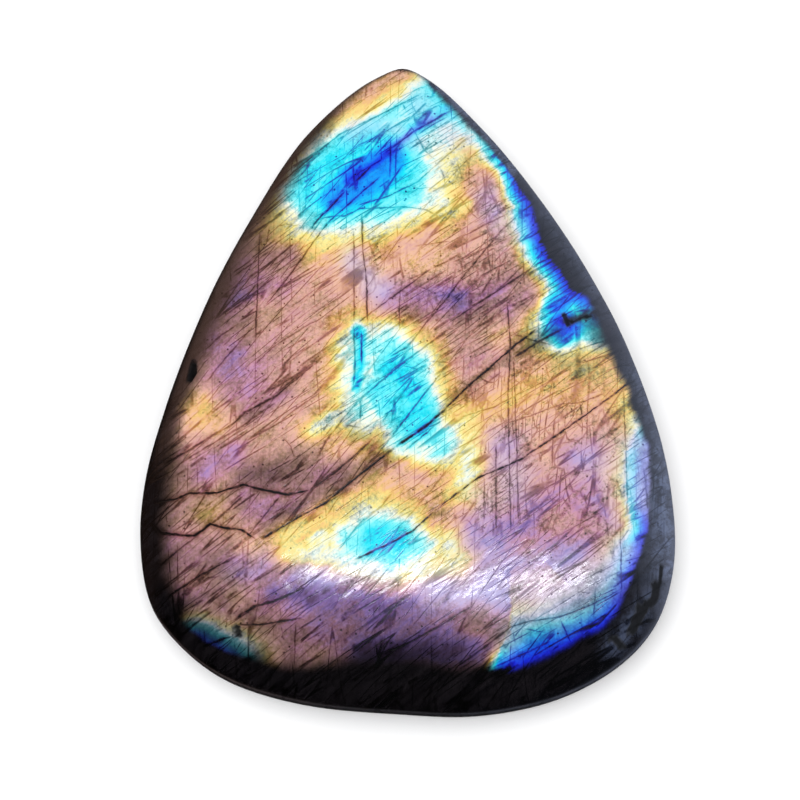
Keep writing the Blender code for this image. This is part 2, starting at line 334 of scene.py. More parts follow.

# Painted reflection, a mottled blue-grey sheen on the dark body at the rim: (share, strength, reach, path)
PAINTED_RIM_SHEEN = [
    (0.95, 1.0, 0.8, [(0.8, 20.0), (3.2, 18.2), (5.0, 16.2), (6.6, 14.0)]),
    (0.45, 1.0, 0.9, [(8.2, 12.0), (10.4, 8.6), (12.4, 5.0)]),
    (0.55, 1.0, 1.0, [(14.0, 1.4), (15.2, -2.0)]),
    (0.85, 1.0, 1.3, [(15.6, -4.0), (15.8, -10.6)]),
    (0.65, 1.0, 1.1, [(14.9, -12.6), (12.6, -15.4)]),
]

# Where fine upright lines and a net of cracks cross the flash: (share, strength, reach, path)
CRAZED = [
    (1.0, 1.0, 3.4, [(6.0, -1.0), (9.6, -2.0), (10.6, -5.4)]),
    (1.0, 0.9, 1.8, [(3.6, -7.2), (6.2, -6.6)]),
    (0.8, 0.9, 2.2, [(4.6, 12.0), (5.6, 8.4), (2.8, 6.6)]),
    (0.7, 0.9, 1.2, [(-2.0, 8.4), (-1.2, 5.4)]),
]

# The colours of milky places and the painted highlight glow, the dark body and the painted rim sheen, in sRGB
MILK_AND_GLOW = (206, 208, 248)
DARK_BODY = (7, 6, 8)
PALE_BODY = (24, 21, 24)
RIM_SHEEN_COLOUR = (104, 116, 146)

# Heights up the wall where paint, the painted rim sheen and relief set in, and where fractures and pits begin
PAINT_FADE = (1.2, 2.6)
RIM_SHEEN_FADE = (0.8, 2.0)
RELIEF_FADE = (0.3, 1.5)
LINES_START = 1.8

# Fractures: the margin around one that is looked at, its reach to the sides and the fade there, the fade at
# its ends and the span over which it strays. Those darker than OPEN_DARKNESS are open as a shallow groove.
CRACK_MARGIN = 0.6
CRACK_REACH = 0.5
CRACK_SOFT = (0.45, 0.35)
CRACK_FADE = 0.7
CRACK_WOBBLE = 0.14
OPEN_DARKNESS = 1.25
GROOVE_DEPTH = 0.007
GROOVE_REACH = 0.17
GROOVE_FADE = 0.8

# Fractures: (darkness, width, path)
CRACKS = [
    # across the top island
    (0.75, 0.1, [(-8.7, 12.2), (-6.4, 14.1), (-4.2, 15.9), (-1.5, 17.2), (1.0, 18.5)]),
    (0.5, 0.07, [(-0.9, 18.0), (1.4, 19.1)]),
    (0.5, 0.08, [(-3.6, 14.9), (-2.0, 15.7), (0.2, 16.9), (2.3, 17.9)]),
    (0.7, 0.12, [(-1.4, 14.7), (0.5, 16.1), (2.8, 17.5)]),
    (0.6, 0.08, [(0.4, 15.7), (1.6, 16.5), (2.6, 17.1)]),
    (0.95, 0.14, [(-6.35, 9.5), (-5.4, 10.7), (-4.6, 11.5), (-3.6, 12.6)]),
    (0.7, 0.12, [(-3.9, 12.3), (-2.9, 13.2), (-2.0, 14.1)]),
    (0.8, 0.1, [
        (-8.8, 5.2), (-7.8, 6.4), (-6.9, 7.6), (-5.7, 9.3), (-4.9, 10.4), (-4.0, 11.2), (-1.6, 13.3),
    ]),
    (0.6, 0.1, [
        (-6.0, 10.5), (-4.6, 10.8), (-3.8, 10.8), (-2.9, 11.25), (-0.2, 11.35), (1.2, 11.15), (2.4, 10.4),
    ]),
    (0.65, 0.09, [(-3.2, 11.4), (-1.2, 12.0), (0.6, 12.9), (1.9, 14.1), (2.7, 14.8), (4.0, 16.0)]),
    (0.4, 0.07, [(-0.1, 12.0), (0.6, 12.45), (1.2, 12.55), (2.3, 12.4)]),
    (0.4, 0.06, [(-1.0, 12.7), (0.0, 13.4), (1.2, 14.5)]),
    (0.5, 0.08, [(-8.3, 10.1), (-7.5, 10.35), (-6.9, 10.2), (-6.4, 10.5)]),
    (0.5, 0.08, [(-0.4, 18.0), (-0.1, 17.3)]),
    (0.5, 0.08, [(0.1, 17.9), (0.5, 17.3), (1.0, 16.4)]),
    (0.65, 0.09, [(0.0, 16.6), (0.5, 15.9), (1.0, 14.9), (1.85, 14.1)]),
    (0.5, 0.08, [(1.9, 14.0), (2.25, 13.2), (2.3, 12.5)]),
    (0.4, 0.07, [(3.0, 14.5), (2.8, 14.0), (2.3, 13.3), (2.9, 13.1)]),
    (0.5, 0.07, [(2.5, 12.15), (3.3, 11.85), (3.9, 11.0), (4.8, 10.3)]),
    (0.35, 0.06, [(3.1, 11.9), (3.0, 11.3), (3.35, 10.9)]),
    (0.35, 0.07, [(3.5, 12.9), (3.75, 14.6)]),
    (0.35, 0.07, [(3.7, 13.0), (4.8, 14.0)]),
    (0.35, 0.07, [(3.4, 12.9), (3.0, 14.4)]),
    (0.35, 0.07, [(4.6, 10.8), (5.2, 11.6), (6.0, 12.0)]),
    (0.3, 0.07, [(4.8, 12.0), (5.4, 12.9)]),
    # over the right shoulder
    (0.7, 0.09, [(6.5, 11.2), (5.6, 10.7), (4.8, 10.3), (3.7, 9.7), (2.6, 9.2)]),
    (0.8, 0.1, [(7.0, 11.1), (5.7, 9.9), (4.9, 8.9), (3.4, 7.1), (2.2, 5.5), (1.1, 4.2), (0.2, 3.1)]),
    (0.8, 0.1, [(9.2, 8.5), (8.0, 7.9), (6.4, 6.8), (4.7, 5.7), (2.9, 4.5)]),
    (0.6, 0.08, [(7.6, 8.3), (6.7, 7.4), (5.9, 6.6), (5.1, 6.0)]),
    (0.6, 0.08, [(8.1, 6.2), (7.0, 5.4), (6.3, 4.9)]),
    (0.5, 0.07, [(5.2, 8.9), (5.15, 7.2)]),
    (0.45, 0.07, [(4.3, 6.9), (3.1, 5.9), (2.2, 4.9)]),
    (0.4, 0.06, [(7.05, 9.6), (7.1, 8.4)]),
    (0.6, 0.1, [(1.3, 7.5), (2.2, 7.9), (3.4, 8.6)]),
    (0.5, 0.08, [(1.4, 6.7), (2.5, 7.6)]),
    (0.45, 0.07, [(0.2, 8.9), (2.9, 9.3)]),
    (0.45, 0.06, [(-1.0, 9.0), (1.0, 10.1)]),
    # the long ones left of the middle
    (0.8, 0.09, [(-3.2, 4.1), (-1.5, 5.4), (-0.4, 6.2), (1.6, 7.7)]),
    (0.55, 0.07, [(-2.3, 4.2), (-0.6, 5.5)]),
    (0.45, 0.06, [(-8.9, 7.4), (-6.2, 9.0), (-4.4, 10.0)]),
    (0.45, 0.06, [(-7.4, 5.0), (-5.2, 6.6), (-3.4, 7.8)]),
    (0.5, 0.08, [(-10.9, 7.0), (-9.4, 8.0), (-8.2, 8.9)]),
    (0.6, 0.09, [(-11.3, 4.6), (-9.6, 5.9), (-8.0, 7.2)]),
    (0.6, 0.09, [(-12.4, 0.5), (-11.2, 2.0), (-9.3, 4.2)]),
    (0.5, 0.09, [(-12.5, 2.5), (-11.4, 3.5), (-10.2, 4.3)]),
    (0.5, 0.08, [(-9.5, 1.5), (-8.3, 2.7), (-6.4, 3.9), (-5.0, 4.7)]),
    (0.4, 0.06, [(-6.2, 4.6), (-4.6, 5.5), (-3.6, 6.2)]),
    (0.4, 0.06, [(-5.6, 2.9), (-3.9, 4.3)]),
    (0.45, 0.06, [(-4.7, 1.8), (-3.6, 2.6)]),
    (0.85, 0.13, [
        (-15.0, -4.5), (-13.3, -3.5), (-10.5, -1.8), (-9.9, -1.2), (-8.0, -0.2), (-6.3, 1.2), (-5.5, 1.9),
    ]),
    (0.6, 0.1, [(-14.3, -4.6), (-12.2, -3.3), (-10.0, -2.0), (-7.9, -0.5)]),
    (0.55, 0.08, [(-9.9, -2.9), (-7.9, -1.9), (-6.8, -1.0), (-5.0, 0.2)]),
    (0.45, 0.07, [(-7.8, -2.4), (-7.1, -3.3), (-6.8, -4.2)]),
    (0.8, 0.14, [(-14.9, -1.8), (-14.0, -1.3), (-13.2, -0.9)]),
    (0.5, 0.09, [(-9.0, 0.5), (-8.4, 1.0)]),
    # the blue ones in the middle island
    (0.7, 0.12, [
        (-5.6, -4.2), (-5.0, -3.0), (-4.0, -1.7), (-3.0, -0.5), (-1.6, 0.7), (-0.4, 1.7), (0.8, 2.6),
        (2.7, 4.0),
    ]),
    (0.8, 0.12, [(-1.2, 2.1), (0.0, 2.8), (0.7, 3.7)]),
    (0.55, 0.1, [(-0.5, 1.7), (0.6, 1.4), (1.3, 1.3)]),
    (0.7, 0.12, [(-3.0, -5.0), (-1.7, -3.6), (-0.3, -1.8), (1.0, -0.1), (2.2, 1.4)]),
    (0.45, 0.07, [(2.2, 1.4), (3.4, 3.0), (5.0, 4.9), (5.8, 5.8)]),
    (0.5, 0.08, [(1.0, 1.9), (2.9, 1.8)]),
    (0.7, 0.1, [(1.0, -2.2), (1.9, -1.85), (2.4, -1.5)]),
    (0.3, 0.07, [(-1.5, -1.0), (0.0, 0.2), (0.2, 1.0)]),
    # the main black fracture and its companions
    (1.2, 0.15, [(8.0, 4.0), (6.6, 2.9), (5.2, 1.7), (3.7, 0.4), (2.1, -1.15)]),
    (1.3, 0.18, [(2.6, -0.75), (0.9, -2.2), (-0.9, -3.4)]),
    (0.9, 0.12, [(1.8, -1.9), (0.6, -2.9), (-0.4, -3.7)]),
    (1.2, 0.14, [(-0.6, -3.2), (-3.3, -5.3), (-5.0, -6.7), (-6.7, -7.6), (-8.2, -8.5), (-9.1, -9.0)]),
    (0.9, 0.14, [(9.6, 4.0), (8.0, 3.1), (6.9, 2.4), (6.2, 2.0)]),
    (0.7, 0.1, [(6.3, 4.0), (6.6, 3.5), (7.9, 3.1), (8.8, 2.9)]),
    (0.8, 0.1, [(4.3, 0.95), (4.8, 0.65), (5.2, 0.6), (5.45, 0.35)]),
    (0.65, 0.11, [(2.3, -1.0), (4.2, 0.1), (5.9, 1.4)]),
    (0.55, 0.09, [(2.9, -1.6), (5.2, -0.9), (6.9, 0.0), (8.8, 0.9)]),
    (0.9, 0.12, [(-6.0, -6.0), (-4.5, -4.9), (-3.4, -4.0), (-2.0, -2.7)]),
    (0.6, 0.1, [(-7.7, -8.0), (-6.3, -6.9)]),
    (0.5, 0.08, [(-5.1, -7.7), (-3.9, -6.0), (-3.0, -5.0)]),
    # the long brown one and others on the right
    (1.2, 0.13, [(14.2, 0.9), (13.3, 0.4), (11.8, -0.7), (9.2, -2.5), (6.8, -4.1), (4.2, -5.2), (1.7, -7.1)]),
    (1.2, 0.15, [(1.7, -7.1), (0.4, -8.3), (-1.2, -9.2), (-3.4, -10.2)]),
    (0.65, 0.09, [(12.4, 0.1), (10.6, -0.6), (9.4, -0.7), (6.6, -1.7), (5.3, -2.0)]),
    (0.45, 0.08, [
        (5.3, -1.2), (3.4, -3.4), (1.6, -5.7), (-0.3, -7.9), (-2.0, -9.6), (-3.6, -11.8), (-4.6, -13.1),
    ]),
    (0.6, 0.1, [(-4.4, -9.8), (-2.8, -7.8), (-1.6, -6.9), (-0.8, -5.9)]),
    (0.45, 0.09, [(12.7, 2.3), (11.2, 1.2), (10.3, 0.2)]),
    (0.35, 0.07, [(6.9, -0.1), (7.7, 1.6)]),
    (0.35, 0.07, [(8.2, 2.5), (8.6, 0.9), (9.2, 0.1)]),
    (0.35, 0.08, [(10.8, -2.8), (8.9, -3.2), (8.7, -4.0)]),
    (0.35, 0.07, [(12.9, -3.3), (12.3, -4.1), (11.2, -4.7), (10.2, -4.9)]),
    (0.55, 0.09, [(9.9, -5.0), (8.2, -5.9), (7.2, -6.8)]),
    (0.6, 0.12, [(9.0, -6.0), (7.8, -7.0), (6.6, -7.9)]),
    (0.7, 0.14, [(10.3, -8.0), (9.0, -9.2), (8.1, -9.8)]),
    (0.5, 0.09, [(9.0, -7.3), (8.0, -8.0)]),
    (0.45, 0.08, [(8.8, -9.2), (7.0, -10.9), (6.2, -11.7)]),
    (0.45, 0.08, [(6.0, -8.6), (4.6, -10.2), (2.6, -12.3)]),
    (0.5, 0.08, [(12.9, -10.3), (11.0, -11.2), (10.4, -11.5)]),
    # upright twins
    (0.95, 0.12, [(-2.8, 11.2), (-2.75, 8.9), (-2.5, 6.6), (-2.45, 4.0)]),
    (0.8, 0.11, [(-3.3, 10.1), (-3.25, 4.1)]),
    (0.75, 0.13, [(-3.3, 4.3), (-3.2, 1.8), (-3.3, 0.2)]),
    (0.85, 0.13, [(-2.8, 3.9), (-2.8, 1.5)]),
    (0.85, 0.12, [(-3.0, -0.1), (-2.85, -0.8), (-2.9, -2.1)]),
    (0.7, 0.09, [(-3.9, -1.95), (-2.8, -2.15)]),
    (0.75, 0.09, [(-9.1, 10.0), (-9.2, 5.5), (-9.3, 2.8)]),
    (0.8, 0.1, [(-0.5, 5.9), (-0.5, 3.6)]),
    (0.4, 0.07, [(-0.5, 5.7), (0.6, 6.5), (1.75, 6.0)]),
    (0.85, 0.1, [(6.05, 5.7), (6.25, 3.0), (6.1, 0.0), (6.15, -4.2), (6.25, -8.6)]),
    (0.75, 0.09, [(6.45, 2.4), (6.55, -1.6), (6.65, -4.6), (6.7, -8.0)]),
    (0.8, 0.1, [(5.35, -2.9), (5.35, -8.6)]),
    (0.65, 0.09, [(4.65, -4.9), (4.6, -8.1)]),
    (0.35, 0.07, [(4.85, -5.2), (4.85, -7.6)]),
    (0.35, 0.07, [(7.1, -4.6), (7.1, -6.8)]),
    (0.65, 0.09, [(8.95, -1.3), (8.8, -3.1), (8.75, -5.0)]),
    (0.75, 0.09, [(13.2, 0.3), (13.3, -3.2), (13.4, -7.8)]),
    (0.75, 0.09, [(12.95, -7.0), (12.95, -9.0), (13.0, -12.2)]),
    (0.5, 0.08, [(14.4, -4.4), (14.7, -7.4)]),
    (0.55, 0.09, [(3.05, -7.6), (3.1, -9.8), (2.5, -10.7), (1.3, -11.5)]),
    (0.5, 0.08, [(11.4, -11.7), (11.3, -13.9)]),
    (0.5, 0.08, [(-6.8, -13.9), (-6.9, -16.9)]),
    # lower left
    (1.3, 0.14, [
        (-15.7, -6.8), (-14.1, -6.5), (-13.3, -6.15), (-11.6, -6.1), (-10.0, -5.6), (-8.8, -5.9),
        (-7.3, -6.2), (-5.8, -5.9),
    ]),
    (1.3, 0.15, [
        (-15.9, -7.9), (-15.0, -8.6), (-13.0, -8.75), (-12.0, -8.0), (-11.5, -8.15), (-10.1, -8.35),
        (-9.1, -9.0),
    ]),
    (0.7, 0.1, [(-15.3, -10.7), (-13.2, -9.0), (-11.7, -7.8), (-9.8, -6.1)]),
    (0.85, 0.13, [(-14.8, -12.6), (-12.9, -11.3), (-11.1, -10.3), (-10.2, -9.8)]),
    (0.65, 0.1, [(-13.2, -12.0), (-12.2, -11.3), (-11.2, -11.1)]),
    (0.7, 0.1, [(-10.0, -9.1), (-8.8, -7.6), (-7.6, -6.1)]),
    (0.45, 0.08, [(-12.3, -12.6), (-10.8, -11.5), (-9.0, -10.2)]),
    (0.6, 0.1, [(-13.9, -13.5), (-12.2, -12.5)]),
    (0.9, 0.16, [(-10.8, -14.0), (-9.3, -13.0), (-8.2, -12.7), (-6.0, -11.7)]),
    (0.8, 0.12, [(-10.6, -14.15), (-9.0, -14.1), (-7.0, -13.8), (-6.1, -13.55)]),
    (0.8, 0.12, [(-12.7, -15.6), (-11.2, -15.0), (-10.4, -14.8)]),
    # the foot
    (0.7, 0.16, [(0.5, -12.0), (-0.5, -12.7), (-1.6, -13.9), (-2.3, -14.6)]),
    (0.75, 0.12, [(4.1, -12.8), (2.2, -14.0), (0.2, -15.1), (-1.7, -16.0)]),
    (0.7, 0.11, [
        (12.9, -12.0), (11.2, -12.9), (9.4, -13.6), (7.4, -13.9), (6.3, -14.2), (4.6, -15.5), (2.8, -16.8),
    ]),
    (0.5, 0.09, [(7.0, -14.3), (8.4, -14.6)]),
    (0.6, 0.1, [(9.2, -13.7), (10.0, -15.4)]),
    (0.6, 0.09, [(5.0, -16.8), (7.0, -15.9), (8.9, -15.0)]),
    (0.55, 0.09, [(6.4, -14.4), (6.5, -15.3)]),
    (0.5, 0.09, [(14.3, -10.0), (13.1, -10.3)]),
    (0.5, 0.08, [(10.0, -12.1), (11.3, -12.2)]),
]

# Ripples of the polished face, and of the pits' reach
WAVES = [(0.024, 3.1, 3.1, 5), (0.008, 1.3, 1.3, 6)]
PIT_RAGS = [(0.35, 0.25, 0.25, 7)]

# Black pits and inclusions: (reach, depth, path)
PITS = [
    (0.27, 0.25, [(-13.15, 1.6), (-13.2, 1.15)]),
    (0.2, 0.2, [(-13.3, 1.1), (-13.4, 0.75)]),
    (0.25, 0.25, [(-10.4, -14.4), (-10.35, -14.8)]),
    (0.16, 0.02, [(15.5, -10.6), (15.4, -11.8)]),
    (0.38, 0.03, [(15.2, -11.8), (15.1, -12.6), (14.5, -13.1), (14.2, -13.2)]),
    (0.36, 0.03, [(14.5, -13.2), (14.0, -13.9), (13.6, -14.5)]),
    (0.26, 0.02, [(12.5, -15.0), (13.1, -15.5)]),
    (0.18, 0.04, [(9.6, 4.7), (9.8, 4.2)]),
    (0.14, 0.04, [(10.0, 4.3), (11.2, 4.7)]),
]

# Sets of hairlines: (angle in degrees, length to width, lines a millimetre, width, darkness, seed)
HAIRLINES = [
    (34, 24.0, 1.4, 0.03, 1.0, 1),
    (38, 22.0, 1.8, 0.034, 1.0, 2),
    (30, 22.0, 1.2, 0.026, 0.9, 3),
    (52, 16.0, 1.0, 0.024, 0.9, 4),
    (90, 18.0, 0.9, 0.020, 0.7, 5),
]

# How dark hairlines, the net of cracks and all lines of the crazed places are
HAIRLINE_DARKNESS = 0.74
NET_DARKNESS = 0.6
CRAZING_DARKNESS = 0.8

# How far textures swing the flash's order and its brightness: (texture, its mean, amount)
ORDER_SWINGS = [("lamellae", 0.5, 0.20), ("cloud", 0.47, 0.30), ("fine", 0.5, 0.10), ("grain", 0.5, 0.12)]
BRIGHTNESS_SWINGS = [("lamellae", 0.5, 0.8), ("cloud", 0.5, 1.1), ("grain", 0.5, 1.2)]

# The flash's brightness over its textures, and its contrast
FLASH_LEVEL = 1.03
FLASH_CONTRAST = 2.0

# How much lines deepen the colour, and how much lines and pits darken it
LINE_GAMMA = 1.2
LINE_SHADE = 0.75
PIT_SHADE = 0.95

# The polish: the roughness of the face, what lines, pits and the back add to it, and the height of the bumps
FACE_ROUGHNESS = (0.09, 0.15)
LINE_ROUGHNESS = 0.25
PIT_ROUGHNESS = 0.75
BACK_ROUGHNESS = 0.22
BUMP_HEIGHT = 0.04
STONE_IOR = 1.56

# How much of the painted colours shows under this light
EXPOSURE = 0.77

# The light: the fill's radiance against a white of 1, and the softbox in watts and metres
SKY_FILL = 1.09
KEY_POWER = 2.08
SOFTBOX_PLACE = (-0.12, 0.1, 0.7)
SOFTBOX_SIZE = (0.5, 0.5)

# The window: metres away and high, and in degrees its tilt to the south and its reach to west and east
WINDOW_RADIANCE = 20.0
WINDOW_COLOUR = (0.86, 0.91, 1.0)
WINDOW_DISTANCE = 0.6
WINDOW_HEIGHT = 0.034
WINDOW_TILT = 19.4
WINDOW_WEST = 16
WINDOW_EAST = 36

# What the polish reflects of the room, from west to east
ROOM_COLOURS = [
    (0.0, (0.8, 0.44, 0.34, 1)),
    (0.25, (0.22, 0.13, 0.1, 1)),
    (0.5, (0.05, 0.05, 0.06, 1)),
    (0.75, (0.32, 0.36, 0.5, 1)),
    (1.0, (0.75, 0.85, 1.15, 1)),
]

# The table, in metres: half its side, and how far it lies below the stone
TABLE_HALF_SIDE = 1.5
TABLE_GAP = 0.00002

# The camera: the picture's width in pixels, and the tilt in degrees from straight down
PICTURE_WIDTH = 800
PIXELS_PER_MM = 16.35
VIEW_TILT = 9.0
LENS = 300.0
SENSOR = 36.0
AIM = (-0.465, -0.753, 3.0)


# Noise and distances

LATTICE_SIDE = 256
LATTICE = np.random.default_rng(11).random((LATTICE_SIDE, LATTICE_SIDE)) * 2 - 1
LAYER_STEP = (37.3, 61.7)


def smoothstep(low, high, value):
    """0 before low, 1 past high, whichever of them is greater, and a smooth change between them."""
    t = np.clip((value - low) / (high - low), 0, 1)
    return t * t * (3 - 2 * t)


def ripple(x, y, layer=0):
    """Smooth noise from -1 to 1 that changes over about one unit, different for each layer."""
    x = x + LAYER_STEP[0] * layer
    y = y + LAYER_STEP[1] * layer
    i = np.floor(x).astype(int)
    j = np.floor(y).astype(int)
    s = smoothstep(0, 1, x - i)
    t = smoothstep(0, 1, y - j)
    west, east = i % LATTICE_SIDE, (i + 1) % LATTICE_SIDE
    south, north = j % LATTICE_SIDE, (j + 1) % LATTICE_SIDE
    low = LATTICE[west, south] * (1 - s) + LATTICE[east, south] * s
    high = LATTICE[west, north] * (1 - s) + LATTICE[east, north] * s
    return low + (high - low) * t


def ripples(x, y, rows):
    """Ripples of (height, length, width, layer) added up."""
    return sum(height * ripple(x / length, y / width, layer) for height, length, width, layer in rows)


def along_segment(u, v, start, end):
    """(distance from a segment, share of the way along it) for each place on the face."""
    ax, ay = start
    bx, by = end
    length = max(math.hypot(bx - ax, by - ay), 1e-6)
    share = np.clip(((u - ax) * (bx - ax) + (v - ay) * (by - ay)) / length**2, 0, 1)
    return np.hypot(u - ax - share * (bx - ax), v - ay - share * (by - ay)), share


def along_path(u, v, path):
    """(signed distance from a path, way along it, its length) for each place on the face."""
    nearest = np.full(u.shape, np.inf)
    side = np.ones(u.shape)
    way = np.zeros(u.shape)
    length = 0.0
    for (ax, ay), (bx, by) in zip(path, path[1:] or path):
        step = math.hypot(bx - ax, by - ay)
        distance, share = along_segment(u, v, (ax, ay), (bx, by))
        nearer = distance < nearest
        nearest = np.where(nearer, distance, nearest)
        side = np.where(nearer, np.sign((bx - ax) * (v - ay) - (by - ay) * (u - ax) + 1e-12), side)
        way = np.where(nearer, length + share * step, way)
        length += step
    return nearest * side, way, length


def path_distance(u, v, path):
    """How far each place on the face is from a path, or from a single point."""
    return np.abs(along_path(u, v, path)[0])


# The stone's form


def edge_curve(samples=64):
    """Points of the stone's edge, on the cubic B-spline that the outline gives."""
    points = np.array(OUTLINE)
    cage = points + (points - (np.roll(points, 1, 0) + np.roll(points, -1, 0)) / 2) / 3
    t = np.linspace(0, 1, samples, endpoint=False)[None, :, None]
    weights = (
        (1 - t) ** 3 / 6,
        (3 * t**3 - 6 * t**2 + 4) / 6,
        (-3 * t**3 + 3 * t**2 + 3 * t + 1) / 6,
        t**3 / 6,
    )
    near = [np.roll(cage, -k, 0)[:, None, :] for k in (-1, 0, 1, 2)]
    return sum(weight * point for weight, point in zip(weights, near)).reshape(-1, 2)


def profile():
    """(way, share of the outline, height) along a meridian, from the crown at way 0 to the back at way 1."""
    back_share = 1 - BACK_ROUNDING / CROWN_RADIUS
    dome = np.linspace(math.pi / 2, 0, 600)
    rounding = np.linspace(math.pi / 2, 0, 60)
    wall = np.linspace(WALL_TOP, BACK_ROUNDING, 20)[1:-1]
    back = np.linspace(back_share, 0, 60)[1:]
    share = np.concatenate([
        np.clip(np.cos(dome), 0, 1) ** (2 / DOME_FULLNESS),
        np.ones(len(wall)),
        back_share + (1 - back_share) * np.sin(rounding),
        back,
    ])
    height = np.concatenate([
        WALL_TOP + (THICKNESS - WALL_TOP) * np.clip(np.sin(dome), 0, 1) ** (2 / DOME_FLATNESS),
        wall,
        BACK_ROUNDING * (1 - np.cos(rounding)),
        np.zeros(len(back)),
    ])
    step = np.hypot(np.diff(share) * CROWN_RADIUS, np.diff(height))
    step[-len(back):] *= BACK_SHARE
    way = np.concatenate([[0], np.cumsum(step)])
    return way / way[-1], share, height


def cube_sphere(cells):
    """(unit directions, quads) of a cube's grid blown up to a sphere."""
    grid = np.arange(cells + 1) * 2 - cells
    a, b = (g.ravel() for g in np.meshgrid(grid, grid, indexing="ij"))
    full = np.full(a.shape, cells)
    sides = [(full, a, b), (-full, -a, b), (-a, full, b), (a, -full, b), (a, b, full), (-a, b, -full)]
    corners = np.concatenate([np.stack(side, 1) for side in sides])
    unique, number = np.unique(corners, axis=0, return_inverse=True)
    number = number.reshape(6, cells + 1, cells + 1)
    quads = np.stack(
        [number[:, :-1, :-1], number[:, 1:, :-1], number[:, 1:, 1:], number[:, :-1, 1:]], -1
    ).reshape(-1, 4)
    points = np.tan(unique / cells * math.pi / 4)
    return points / np.linalg.norm(points, axis=1, keepdims=True), quads


def stone_points(directions):
    """Where each direction of the sphere lies on the smooth stone."""
    edge = edge_curve() - CROWN
    angle = np.arctan2(edge[:, 1], edge[:, 0])
    order = np.argsort(angle)
    longitude = np.arctan2(directions[:, 1], directions[:, 0])
    reach = np.interp(longitude, angle[order], np.hypot(*edge[order].T), period=math.tau)
    way, shares, heights = profile()
    colatitude = np.arccos(np.clip(directions[:, 2], -1, 1)) / math.pi
    share = np.interp(colatitude, way, shares)
    scale = share * (1 + (1 - share**2) ** 2 * (CROWN_RADIUS / reach - 1))
    return np.stack([
        CROWN[0] + np.cos(longitude) * reach * scale,
        CROWN[1] + np.sin(longitude) * reach * scale,
        np.interp(colatitude, way, heights),
    ], 1)


# The flash


def face_places(x, y, z):
    """The places on the face, as the strokes give them, where points of the stone are seen."""
    tilt = math.radians(VIEW_TILT)
    return PLACE_SCALE * x, PLACE_SCALE * (math.cos(tilt) * y + math.sin(tilt) * z) + PLACE_SHIFT


def combed(u, v):
    """The places (u, v) shifted to and fro along the lamellae and across them, for ragged edges."""
    turn = math.radians(LAMELLAE_ANGLE)
    along = u * math.cos(turn) + v * math.sin(turn)
    across = v * math.cos(turn) - u * math.sin(turn)
    shift = ripples(along, across, SHIFTS)
    sway = ripples(along, across, SWAYS)
    return (
        u + shift * math.cos(turn) - sway * math.sin(turn),
        v + shift * math.sin(turn) + sway * math.cos(turn),
    )


def edge_fields(u, v):
    """(distance inside the flash's edge, blue share, width) for each place on the face."""
    best = np.full(u.shape, np.inf)
    blue = np.zeros(u.shape)
    width = np.ones(u.shape)
    inside = np.zeros(u.shape, bool)
    for k, (ax, ay, a_blue, a_width) in enumerate(FLASH_EDGE):
        bx, by, b_blue, b_width = FLASH_EDGE[(k + 1) % len(FLASH_EDGE)]
        distance, share = along_segment(u, v, (ax, ay), (bx, by))
        nearer = distance < best
        best = np.where(nearer, distance, best)
        blue = np.where(nearer, a_blue + share * (b_blue - a_blue), blue)
        width = np.where(nearer, a_width + share * (b_width - a_width), width)
        if ay != by:
            crosses = (ay > v) != (by > v)
            inside ^= crosses & (u < ax + (v - ay) * (bx - ax) / (by - ay))
    return np.where(inside, best, -best), blue, width


def soft_weight(u, v, strength, reach, path):
    """How strongly a soft stroke covers each place."""
    return strength * np.exp(-((path_distance(u, v, path) / reach) ** 2))


def overpaint(start, strokes, u, v):
    """A field of one value with soft strokes (value, strength, reach, path) laid over it one by one."""
    field = np.full(u.shape, start)
    for value, strength, reach, path in strokes:
        field += soft_weight(u, v, strength, reach, path) * (value - field)
    return field


def paint_patches(order, brightness, patches, u, v):
    """Lays soft patches of the flash over the order and brightness it has so far."""
    for value, bright, strength, reach, path in patches:
        weight = soft_weight(u, v, strength, reach, path)
        order += weight * (value - order)
        brightness += weight * (bright - brightness)


def dig_wells(order, brightness, u, v):
    """Lowers the order to each well's slope, and lights the well up fully."""
    for core, reach, shape, path in WELLS:
        away = path_distance(u, v, path) / reach
        slope = core + (WHITE - core) * away**shape
        depth = np.where(away < 1, slope, WHITE + HALO_SLOPE * (away - 1))
        gap = np.clip(0.5 + (order - depth) / WELL_BLEND, 0, 1)
        order += gap * (depth - order) - WELL_BLEND / 4 * gap * (1 - gap)
        brightness += smoothstep(*WELL_GLOW, away) * (1 - brightness)


def fade_flash_to_rim_shade(order, brightness, u, v):
    """Runs the order down through the blues towards the flash's edge. Gives how much of the flash shows."""
    inward, blue, width = edge_fields(u, v)
    inward /= width
    depth = np.maximum(EDGE_ORDER + EDGE_RISE * inward, 0)
    order += blue * (np.minimum(order, depth) - order)
    brightness += blue * smoothstep(*EDGE_GLOW, inward) * (1 - brightness)
    low, high = (plain + blue * (other - plain) for plain, other in zip(EDGE_FADE, BLUE_EDGE_FADE))
    # Painted shade: the flash fades out towards its edge along the rim
    return smoothstep(low, high, inward)


def flash(u, v):
    """(order, brightness, milkiness and painted highlight glow) of the flash at each place on the face."""
    a, b = combed(u, v)
    order = np.full(u.shape, GROUND)
    brightness = np.full(u.shape, GROUND_BRIGHTNESS)
    paint_patches(order, brightness, PATCHES, a, b)
    dig_wells(order, brightness, a, b)
    paint_patches(order, brightness, UPPER_PATCHES, a, b)
    unshaded = fade_flash_to_rim_shade(order, brightness, (a + u) / 2, (b + v) / 2)
    # Painted shade along the rim dims the flash
    brightness *= overpaint(1.0, SHADES, a, b) * unshaded
    return order, brightness, overpaint(0.0, VEILS_AND_GLOW, a, b)


# Fractures, pits and the polish


